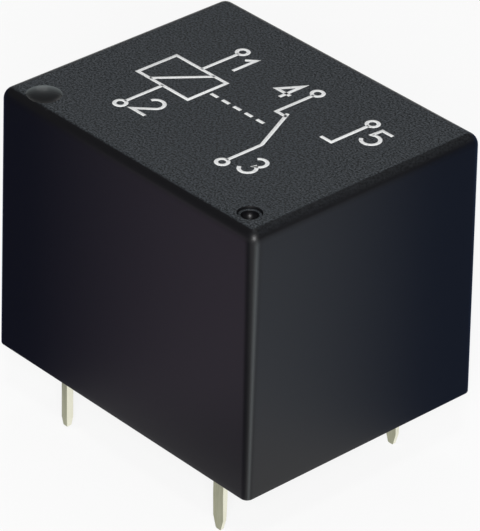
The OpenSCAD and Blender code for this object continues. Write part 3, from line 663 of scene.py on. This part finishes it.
node_finishes = {
    "base": base_pbt, "seal_resin": resin, "bobbin": bobbin_pet, "coil_lead_front": copper,
    "coil_lead_back": copper, "core": iron, "yoke": iron, "armature": iron, "yoke_rivets": brass,
    "armature_rivets": brass, "moving_contact": silver, "no_contact": silver, "nc_contact": silver,
    "coil_pin_front": tin, "coil_pin_back": tin, "com_terminal": tin, "no_terminal": tin, "nc_terminal": tin,
    "contact_spring": bronze, "coil_winding": copper,
}
for name, finish in node_finishes.items():
    part = frame["nodes"][name]
    part.data.materials.clear()
    part.data.materials.append(finish)
print(len(node_finishes), "CAD parts finished")

# %% [markdown]
# ## Pins
# The pins are cut from drawn wire and stamped strip, then dipped in tin. A press forms their tips, so that
# they find the holes of the board: the sides draw in over the last stretch to a small round nose. The two
# coil pins are square, with edges rounded by the tin: a rounded square carried along the pin and drawn in
# by the same outline as the CAD pin.

# %% Coil pins
COIL_TIP_L, COIL_NOSE, TIN_R = 0.6, 0.75, 0.06
TIP_STATIONS, TIN_STEPS, PIN_SHARP = 30, 4, 50


def tip_outline(width, above, taper, share):
    """Half the width of a pin at a height above its tip: a round nose, a straight taper, then full width."""
    nose = share * width / 2
    slope = nose + (width / 2 - nose) * np.clip((above - nose) / (taper - nose), 0, 1)
    return np.where(above < nose, np.sqrt(np.clip(nose ** 2 - (nose - above) ** 2, 0, None)), slope)


def tip_heights(taper):
    """Heights above a tip, close together at the nose and wide apart at the end of the taper."""
    return taper * np.linspace(0, 1, TIP_STATIONS + 1) ** 2


def square_pin(name):
    """A rounded square of unit half-width, times the tip outline, carried up the box of a CAD pin."""
    low, high = in_mm(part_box(name))
    width = high[0] - low[0]
    turn = quarter(TIN_STEPS)
    corner = 1 - 2 * TIN_R / width
    angle = np.concatenate([turn + k * np.pi / 2 for k in range(4)])
    quadrant = np.repeat(np.array([[1, 1], [-1, 1], [-1, -1], [1, -1]]), len(turn), axis=0)
    section = corner * quadrant + (1 - corner) * np.stack([np.cos(angle), np.sin(angle)], -1)
    above = np.concatenate([tip_heights(COIL_TIP_L), [high[2] - low[2]] * 2])
    reach = np.append(tip_outline(width, above[:-1], COIL_TIP_L, COIL_NOSE), 0)
    plan = (low[:2] + high[:2]) / 2 + np.multiply.outer(reach, section)
    skin = whole(lifted(plan, (low[2] + above)[:, None]), ring=True)
    piece = make_piece("tinned_" + name, [skin], tin, PIN_SHARP)
    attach(piece, "housing")
    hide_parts(name)


square_pin("coil_pin_front")
square_pin("coil_pin_back")

# %% [markdown]
# ## Stamped terminals
# The other three pins are the lower ends of stamped strips. The strip widens at a shoulder above the base,
# and two of them bend over at the top into a tab that carries a fixed contact. Each is one sheet: a path
# up the middle, a width for every point of it, and the thickness of the strip. A small bevel stands
# for the tin that rounds the stamped edges.

# %% Terminals
STRIP_T, STRIP_W, PIN_W, STRIP_BEND_R = 0.3, 3.0, 0.75, 0.3
COM_W, COM_R = 3.6, 0.5
FLAT_TIP_L, FLAT_TAPER_L, FLAT_NOSE = 0.75, 2.0, 0.6
BASE_T, TIN_EDGE = 1.2, 0.03
BEND_STEPS, TAB_STEPS, STRIP_LINES = 8, 16, 7
base_top = in_mm(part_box("base"))[0][2] + BASE_T


def strip_sheet(path, half_width, side, shares):
    """Middle of a strip: path + half_width * share * side, with the normals tangent x side."""
    middle = path[:, None] + half_width[:, None, None] * shares[:, None] * side
    normal = np.cross(np.gradient(path, axis=0), side)
    normal /= np.linalg.norm(normal, axis=1)[:, None]
    return middle, np.broadcast_to(normal[:, None], middle.shape)


def soften(piece, width_mm):
    """Rounds the sharp edges of a piece with a small bevel."""
    bevel = piece.modifiers.new("soft_edges", "BEVEL")
    bevel.width = width_mm * MM
    bevel.segments = 2
    bevel.limit_method = "ANGLE"
    bevel.angle_limit = math.radians(PIN_SHARP)


def upright(low_z):
    """Heights, half-widths and thicknesses of a flat pin from its tip to the shoulder on the base."""
    above = np.append(tip_heights(FLAT_TAPER_L), base_top - low_z)
    half = tip_outline(PIN_W, above, FLAT_TIP_L, FLAT_NOSE)
    return low_z + above, half, 2 * tip_outline(STRIP_T, above, FLAT_TAPER_L, FLAT_NOSE)


def terminal(name, path, half_width, thickness, side):
    """Makes one stamped terminal in place of its CAD part."""
    sheet = strip_sheet(path, half_width, side, np.linspace(-1, 1, STRIP_LINES))
    piece = make_piece("stamped_" + name, [thick_sheet(*sheet, thickness[:, None])], tin)
    soften(piece, TIN_EDGE)
    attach(piece, "housing")
    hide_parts(name)


def contact_terminal(name, row):
    """Strip on one long side (row is -1 or 1), bent over towards the middle and ending round."""
    low, high = in_mm(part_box(name))
    pin_z, pin_half, pin_t = upright(low[2])
    wall_y = row * (np.abs([low[1], high[1]]).max() - STRIP_T / 2)
    tab_z = high[2] - STRIP_T / 2
    bend = STRIP_BEND_R + STRIP_T / 2
    turn = quarter(BEND_STEPS)
    reach = STRIP_W / 2 * np.sin(quarter(TAB_STEPS))
    bend_y = wall_y - row * bend * (1 - np.cos(turn))
    y = np.concatenate([0 * pin_z + wall_y, [wall_y], bend_y, -row * reach])
    z = np.concatenate([pin_z, [base_top], tab_z - bend + bend * np.sin(turn), 0 * reach + tab_z])
    strip_half = np.append(np.full(1 + len(turn), STRIP_W / 2),
                           np.sqrt(np.clip((STRIP_W / 2) ** 2 - reach ** 2, 0, None)))
    path = np.stack([np.full(len(y), (low[0] + high[0]) / 2), y, z], -1)
    thickness = np.append(pin_t, np.full(len(strip_half), STRIP_T))
    terminal(name, path, np.append(pin_half, strip_half), thickness, np.array([1.0, 0, 0]))


def common_terminal():
    """Upright plate with two round upper corners over the common pin."""
    low, high = in_mm(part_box("com_terminal"))
    pin_z, pin_half, pin_t = upright(low[2])
    turn = quarter(BEND_STEPS)
    z = np.concatenate([pin_z, [base_top], high[2] - COM_R + COM_R * np.sin(turn)])
    half = np.concatenate([pin_half, [COM_W / 2], COM_W / 2 - COM_R + COM_R * np.cos(turn)])
    path = np.stack([np.full(len(z), (low[0] + high[0]) / 2), 0 * z, z], -1)
    thickness = np.append(pin_t, np.full(1 + len(turn), STRIP_T))
    terminal("com_terminal", path, half, thickness, np.array([0, 1.0, 0]))


contact_terminal("nc_terminal", -1)
contact_terminal("no_terminal", 1)
common_terminal()

# %% [markdown]
# ## Contact spring
# The spring is one strip of phosphor bronze: a leg riveted to the yoke, a soft bend over the hinge with a
# window in it, and a blade that carries the moving contact. It is the only part that bends.

# %% Spring
SPRING_T, SPRING_W, SPRING_BEND_R, SPRING_END_R = 0.2, 5.0, 0.4, 1.7
WINDOW_W, WINDOW_REACH, WINDOW_DROP = 2.4, 1.6, 1.2
# How far the blade rises from the hinge to the contact
CONTACT_RISE = 0.43
LEG_STEPS, ARC_STEPS, BLADE_STEPS, END_STEPS = (6, 4), 12, (4, 20, 10), 14
# Lines along the spring, as shares of its half width
SHARES = np.array([-1, -0.74, -0.48, -0.24, 0, 0.24, 0.48, 0.74, 1])
# The hinge, from the armature's joint, and the boxes of the spring, the moving contact and the armature, in
# mm
joint = frame["joints"][0]
hinge = np.array(joint["pos_m"]) / MM
spring_low, spring_high = in_mm(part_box("contact_spring"))
contact_low, contact_high = in_mm(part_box("moving_contact"))
plate_end = in_mm(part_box("armature"))[1][0]


def spring_path():
    """Middle line up the leg, round the bend and out along the open blade, with the shares of its width."""
    contact = (contact_low[0] + contact_high[0]) / 2
    slope = math.asin(CONTACT_RISE / (contact - hinge[0]))
    along = np.array([math.cos(slope), math.sin(slope)])
    middle_r = SPRING_BEND_R + SPRING_T / 2
    tip = np.array([spring_high[0], spring_high[2]]) - SPRING_T / 2 * np.array([-along[1], along[0]])
    bend_x = hinge[0] + SPRING_BEND_R
    turn = np.linspace(np.pi, np.pi / 2 + slope, ARC_STEPS + 1)
    reach = (tip[0] - bend_x - middle_r * math.cos(turn[-1])) / along[0]
    bend_z = tip[1] - reach * along[1] - middle_r * math.sin(turn[-1])
    arc = np.stack([bend_x + middle_r * np.cos(turn), bend_z + middle_r * np.sin(turn)], -1)
    leg_z = ruled([spring_low[2], hinge[2] - WINDOW_DROP, bend_z], LEG_STEPS)[:-1]
    leg = np.stack([0 * leg_z + hinge[0] - SPRING_T / 2, leg_z], -1)
    window_end = hinge[0] + WINDOW_REACH
    blade_x = np.concatenate([ruled([arc[-1, 0], window_end, plate_end, contact], BLADE_STEPS)[1:],
                              contact + (tip[0] - contact) * np.sin(quarter(END_STEPS))[1:]])
    blade = np.stack([blade_x, arc[-1, 1] + (blade_x - arc[-1, 0]) * math.tan(slope)], -1)
    xz = np.concatenate([leg, arc, blade])
    half = np.interp(xz[:, 0], [plate_end, contact], [SPRING_W / 2, SPRING_END_R])
    past = np.clip((xz[:, 0] - contact) / (tip[0] - contact), 0, 1)
    return np.stack([xz[:, 0], 0 * xz[:, 0], xz[:, 1]], -1), half * np.sqrt(1 - past ** 2), window_end


path, half, window_end = spring_path()
middle_x = (path[1:, 0] + path[:-1, 0]) / 2
middle_z = (path[1:, 2] + path[:-1, 2]) / 2
in_window = (middle_z > hinge[2] - WINDOW_DROP) & (middle_x < window_end)
middle_y = np.abs(SHARES[1:] + SHARES[:-1]) / 2 * SPRING_W / 2
spring_sheet = strip_sheet(path, half, np.array([0, 1.0, 0]), SHARES)
metal = ~(in_window[:, None] & (middle_y < WINDOW_W / 2)[None])
spring = make_piece("bronze_spring", [thick_sheet(*spring_sheet, SPRING_T, metal)], bronze)
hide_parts("contact_spring")
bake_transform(spring)

# %% [markdown]
# ## Winding
# Thousands of turns of thin enamelled wire fill the bobbin. Each layer shows as a fine thread of round
# turns. Modelling the wire turn by turn would be wasteful, so the winding is one turned surface whose radius
# swings once for each wire, and the turns climb by one wire's width on the way round.

# %% Winding
WIRE_D, TURN_STEPS, ROUND_STATIONS, WIRE_SHARP = 0.14, 6, 72, 60
# The groove between two turns isn't cut to its full depth
GROOVE = 0.8
# The bore: the core's share of the winding, and the wall of the bobbin's tube with its clearance
CORE_SHARE, TUBE_T = 0.47, 0.65


def winding_surface():
    """Outer face r = R - w + sqrt(w^2 - groove * s^2), with s the height from the middle of a turn and w half
    a wire; then over the end, down the bore and back, as one closed ring of rows."""
    low, high = in_mm(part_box("coil_winding"))
    outer = (high[1] - low[1]) / 2
    bore = CORE_SHARE * outer + TUBE_T
    rise = np.linspace(0, 1, TURN_STEPS * round((high[2] - low[2]) / WIRE_D) + 1)
    z = low[2] + (high[2] - low[2]) * rise
    climb = np.linspace(0, 1, ROUND_STATIONS, endpoint=False)
    turns = z[:, None] / WIRE_D - climb
    off = (turns - np.floor(turns) - 0.5) * WIRE_D
    wire = WIRE_D / 2
    radius = outer - wire + np.sqrt(np.clip(wire ** 2 - GROOVE * off ** 2, 0, None))
    radius = np.concatenate([radius, np.full((2, ROUND_STATIONS), bore), radius[:1]])
    z = np.concatenate([z, [high[2], low[2], low[2]]])
    return turned_round(radius, z, ROUND_STATIONS, (low + high)[:2] / 2)


thread = whole(winding_surface(), ring=True)
winding = make_piece("wound_coil", [thread], copper, WIRE_SHARP)
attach(winding, "housing")
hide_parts("coil_winding")

# %% [markdown]
# ## The print
# A relay is pad-printed in white on its grained top. This one shows only what every such relay could show:
# the circuit symbol of a coil and a changeover contact, with plain numbers for the five pins. Each stroke
# is a low ridge of ink, carried along its line and mitred at the bends.

# %% Material: pad-printing ink
def pad_ink():
    """Thin matt white ink: the black shows through faintly in the hollows of the grain."""
    made, tree = new_material("ink white, pad-printed")
    grain = noise(tree, GRAIN_MM, 3.0)
    colour = mixed(tree, remap(tree, grain, 0.25, 0.45), "#c6c8ca", "#f5f6f6")
    close_surface(tree, colour, 0.6, bumped(tree, grain, 0.02, 0.6))
    return made


ink = pad_ink()
print("material:", ink.name)

# %% Strokes of the symbol and the numbers
INK_W, INK_H, INK_SHARP = 0.22, INK_ROOM, 60
# Section of a stroke, in shares of its half width and height: its feet stand in the roof
RIDGE_ACROSS, RIDGE_UP = np.array([-1, -0.8, 0.8, 1]), np.array([-0.3, 1, 1, -0.3])
# Lines of the symbol, in mm from the middle of the roof
COIL_X, COMMON_X, CLOSED_X, OPEN_X = -4.3, 3.3, 1.3, 5.3
COIL_L, COIL_W, SLASH = 1.9, 1.3, 1.0
RING_Y, RING_R, ARM_Y, HOOK_Y, HOOK_L = 4.1, 0.3, -1.5, 1.3, 0.75
ARM_PAST_X, ARM_PAST_Y = 0.55, 0.25
DASH_L, DASH_PITCH, DASH_START, DASH_END = 0.5, 0.85, 2.2, 1.3
DIGIT_H, UPPER_Y, LOWER_Y = 1.6, 2.4, -4.0


def arc_path(x, y, radius, start_deg, end_deg, steps=16):
    """Points on a circle, from one angle to another."""
    turn = np.radians(np.linspace(start_deg, end_deg, steps + 1))
    return np.stack([x + radius * np.cos(turn), y + radius * np.sin(turn)], -1)


def stroke(path, closed=False):
    """Ridge of ink along a path: four points across, moved by the mitre (n1 + n2) / (1 + n1 . n2)."""
    path = np.asarray(path, float)
    ahead = np.roll(path, -1, 0) - path
    ahead /= np.linalg.norm(ahead, axis=1)[:, None]
    behind = np.roll(ahead, 1, 0)
    if not closed:
        ahead[-1] = behind[-1]
        behind[0] = ahead[0]
    turn = ahead + behind
    mitre = np.stack([-turn[:, 1], turn[:, 0]], -1) / (1 + (ahead * behind).sum(1))[:, None]
    across = INK_W / 2 * RIDGE_ACROSS
    plan = path[:, None] + across[:, None] * mitre[:, None]
    points = lifted(plan, TOP_Z + INK_H * RIDGE_UP)
    points = np.concatenate([points, points[:1]]) if closed else points
    quads = grid_quads(*points.shape[:2], ring=True).reshape(-1, 4)
    if not closed:
        first = np.arange(4)
        quads = np.concatenate([quads, [first, first + 4 * len(points) - 4]])
    return points.reshape(-1, 3), quads


DIGITS = {
    "1": [[(0.1, 0.76), (0.36, 1), (0.36, 0)]],
    "2": [np.concatenate([arc_path(0.3, 0.71, 0.29, 165, -35), [(0.0, 0.0), (0.62, 0.0)]])],
    "3": [np.concatenate([arc_path(0.28, 0.75, 0.25, 150, -75), arc_path(0.28, 0.27, 0.27, 75, -155)])],
    "4": [[(0.62, 0.3), (0.0, 0.3), (0.44, 1.0), (0.44, 0.0)]],
    "5": [np.concatenate([[(0.56, 1.0), (0.1, 1.0), (0.07, 0.57)], arc_path(0.27, 0.33, 0.3, 125, -150)])],
}


def lead_ring(x, y):
    """Small ring at the outer end of a lead, with a point every 15 degrees."""
    return stroke(arc_path(x, y, RING_R, 0, 345, 23), True)


def circuit_symbol():
    """Strokes of the coil, its link to the contact arm, the changeover contact and the five numbers."""
    box = np.array([(-1, -1), (1, -1), (1, 1), (-1, 1)]) * (COIL_L, COIL_W) + (COIL_X, 0)
    strokes = [stroke(box, True), stroke([(COIL_X - SLASH, -COIL_W), (COIL_X + SLASH, COIL_W)])]
    for x, side, foot in [(COIL_X, 1, COIL_W), (COIL_X, -1, -COIL_W), (COMMON_X, -1, ARM_Y)]:
        strokes += [stroke([(x, foot), (x, side * (RING_Y - RING_R))]), lead_ring(x, side * RING_Y)]
    for x, hook in [(CLOSED_X, HOOK_L), (OPEN_X, -HOOK_L)]:
        lead = [(x + hook, HOOK_Y), (x, HOOK_Y), (x, RING_Y - RING_R)]
        strokes += [stroke(lead), lead_ring(x, RING_Y)]
    strokes.append(stroke([(COMMON_X, ARM_Y), (CLOSED_X + ARM_PAST_X, HOOK_Y + ARM_PAST_Y)]))
    dash_x = np.arange(COIL_X + DASH_START, COMMON_X - DASH_END, DASH_PITCH)
    strokes += [stroke([(x, 0), (x + DASH_L, 0)]) for x in dash_x]
    marks = [("1", COIL_X + 0.55, UPPER_Y), ("2", COIL_X + 0.75, LOWER_Y), ("3", COMMON_X + 0.8, LOWER_Y),
             ("4", CLOSED_X - 1.7, UPPER_Y), ("5", OPEN_X + 0.65, UPPER_Y)]
    for digit, x, y in marks:
        strokes += [stroke(np.array([x, y]) + DIGIT_H * np.asarray(line)) for line in DIGITS[digit]]
    return strokes


symbol = make_piece("printed_symbol", circuit_symbol(), ink, INK_SHARP)
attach(symbol, "housing")

# %% [markdown]
# ## The floor
# The relay stands on its pins on a round sheet of white paper. Its rim sweeps up, so that no edge shows from
# any side. The ground of the picture is nearly white and has almost no shadow. More light would bleach the
# relay too, so the paper has a glow of its own, which the camera and the gloss see and which lights nothing.

# %% Floor
FLOOR_R, SWEEP_R = 800, 200
# Share of the glow in what is seen of the paper, and the size of its cloudiness
FLOOR_GLOW, FIBRE_MM = 0.86, 3.0
SWEEP_STEPS, FLOOR_STATIONS = 16, 96
ground_z = cad_low[2] / MM


def pale_floor():
    """Matt white paper with a glow for the camera and the gloss, and clear when seen from below."""
    made, tree = new_material("paper, matt white")
    white = mixed(tree, noise(tree, FIBRE_MM, 2.0), "#f7f7f7", "#fbfbfb")
    matt = add_node(tree, "ShaderNodeBsdfDiffuse", {"Color": white}).outputs[0]
    ray = add_node(tree, "ShaderNodeLightPath").outputs
    seen = combined(tree, "MAXIMUM", ray["Is Camera Ray"], ray["Is Glossy Ray"])
    seen = combined(tree, "MAXIMUM", seen, ray["Is Transmission Ray"])
    share = combined(tree, "MULTIPLY", seen, FLOOR_GLOW)
    glow = add_node(tree, "ShaderNodeEmission", {"Color": (1, 1, 1, 1), "Strength": 1.0}).outputs[0]
    paper = add_node(tree, "ShaderNodeMixShader", {0: share, 1: matt, 2: glow}).outputs[0]
    below = add_node(tree, "ShaderNodeNewGeometry").outputs["Backfacing"]
    clear = add_node(tree, "ShaderNodeBsdfTransparent").outputs[0]
    sheet = add_node(tree, "ShaderNodeMixShader", {0: below, 1: paper, 2: clear}).outputs[0]
    add_node(tree, "ShaderNodeOutputMaterial", {"Surface": sheet})
    return made


def stage_sheet(name, points, quads, material):
    """Sheet of the studio, which isn't part of the relay."""
    mesh = bpy.data.meshes.new(name)
    mesh.from_pydata((points.reshape(-1, 3) * MM).tolist(), [], quads.reshape(-1, 4).tolist())
    mesh.shade_smooth()
    mesh.materials.append(material)
    made = bpy.data.objects.new(name, mesh)
    bpy.context.scene.collection.objects.link(made)
    return made


def swept_floor():
    """Round floor whose rim sweeps up: a level line and a quarter circle, turned round the upright axis."""
    turn = quarter(SWEEP_STEPS)
    reach = np.append(0, FLOOR_R + SWEEP_R * np.sin(turn))
    rise = ground_z + np.append(0, SWEEP_R - SWEEP_R * np.cos(turn))
    return turned_round(reach[:, None], rise, FLOOR_STATIONS)


floor_points, floor_quads = whole(swept_floor(), ring=True)
stage_sheet("floor", floor_points, floor_quads[..., ::-1], pale_floor())
print("floor at", round(ground_z, 2), "mm")

# %% [markdown]
# ## Cards beside the relay
# A glossy black side shows little but what it mirrors. Each side is lightest near the upright edge in the
# middle and falls off outwards, and a photographer gets that from card beside the object. So two cards stand
# along the view and a third lies before the left side, each glowing with a gradient along the view: painted
# reflections, which only the gloss shows. The lying card is dark, a painted shadow of the relay on the floor
# in the mirror image of the left side's lower part. The camera doesn't see the cards, and they give no light
# and no shadow.

# %% Cards
# The view's own level directions: places below are (right, away, up) in mm, a card's from the floor up
right = Vector((math.cos(AZIMUTH), math.sin(AZIMUTH), 0))
away = Vector((-math.sin(AZIMUTH), math.cos(AZIMUTH), 0))
CARD_A, CARD_NEAR, CARD_FAR, CARD_H = 13.2, -34, 10, 20
# The lying card, a painted shadow in the mirror image of the left side: its inner edge runs along that side,
# a few mm off
FOOT_A, FOOT_B, FOOT_FAR, FOOT_RISE = 2.1, -15, -3, 0.05
# Where the colour of a card's near tip ends; a dark tip sets off the painted highlight on the corner
TIP_START, TIP_END = -20, -16.5


def graduated_card(name, corners, tip, front, back, start, end):
    """Card with corners at (right, away, up) of the view, which only the gloss of the sides shows.
    Its colour goes along the view: the tip's, then the front's, and from start to end over to the back's."""
    made, tree = new_material("card, graduated " + name)
    place = add_node(tree, "ShaderNodeTexCoord").outputs["Object"]
    along = add_node(tree, "ShaderNodeVectorMath", {0: place, 1: away}, operation="DOT_PRODUCT")
    depth = along.outputs["Value"]
    colour = mixed(tree, remap(tree, depth, start * MM, end * MM), front, back)
    colour = mixed(tree, remap(tree, depth, TIP_START * MM, TIP_END * MM), tip, colour)
    lit = add_node(tree, "ShaderNodeEmission", {"Color": colour, "Strength": 1.0})
    add_node(tree, "ShaderNodeOutputMaterial", {"Surface": lit.outputs["Emission"]})
    points = np.array(corners) @ np.array([right, away, (0, 0, 1)]) + np.array([0, 0, ground_z])
    card = stage_sheet("card_" + name, points, np.arange(4), made)
    card.visible_camera = card.visible_diffuse = card.visible_shadow = False
    print("card:", name)


def upright_card(across):
    """Corners of a card that stands along the view, to one side of the relay."""
    ends = [(CARD_NEAR, 0), (CARD_FAR, 0), (CARD_FAR, CARD_H), (CARD_NEAR, CARD_H)]
    return [(across, *end) for end in ends]


lying_ends = [(-FOOT_A, CARD_NEAR), (-CARD_A, CARD_NEAR), (-CARD_A, FOOT_FAR), (-FOOT_A, FOOT_B)]
lying_card = [(*end, FOOT_RISE) for end in lying_ends]
graduated_card("left", upright_card(-CARD_A), "#0e0f16", "#c8b6ce", "#333a61", -9.5, 0)
graduated_card("left_foot", lying_card, "#0e0f16", "#6a6276", "#333a61", -11, 0)
graduated_card("right", upright_card(CARD_A), "#eaf3ff", "#eaf3ff", "#566c96", -12, -4.5)

# %% [markdown]
# ## Lamps and room
# A large box behind the camera lights the relay from the front, so its shadow falls out of sight. A small
# lamp above it makes the glint on the near corner. A narrow box overhead reaches the far rim of the dish: a
# wide one would also light up the round edges, which are dark. A little even light fills the room.

# %% Lamps and room light
ROOM_LIGHT = 0.13


def softbox(name, place_mm, aim_mm, size_mm, watts):
    """Area lamp at (right, away, up) of the view, aimed at such a point, its first side level."""
    at, aim = (right * p[0] + away * p[1] + Vector((0, 0, p[2])) for p in (place_mm, aim_mm))
    lamp = bpy.data.lights.new(name, "AREA")
    lamp.shape = "RECTANGLE"
    lamp.size, lamp.size_y = (s * MM for s in size_mm)
    lamp.energy = watts
    z_axis = (at - aim).normalized()
    y_axis = z_axis.cross(right).normalized()
    axes = Matrix((y_axis.cross(z_axis), y_axis, z_axis)).transposed()
    made = bpy.data.objects.new(name, lamp)
    made.matrix_world = Matrix.Translation(at * MM) @ axes.to_4x4()
    made.visible_camera = False
    bpy.context.scene.collection.objects.link(made)


softbox("front_box", (0, -570, 340), (0, 0, 0), (180, 180), 4.0)
softbox("glint", (0, -390, 540), (0, 0, 5), (60, 60), 0.7)
softbox("overhead", (0, 35, 160), (0, 10, 0), (70, 60), 0.022)
room = bpy.data.worlds.new("room")
room.use_nodes = True
room.node_tree.nodes.clear()
grey = add_node(room.node_tree, "ShaderNodeBackground", {"Color": (1, 1, 1, 1), "Strength": ROOM_LIGHT})
add_node(room.node_tree, "ShaderNodeOutputWorld", {"Surface": grey.outputs["Background"]})
bpy.context.scene.world = room
bpy.context.scene.view_settings.view_transform = "Standard"
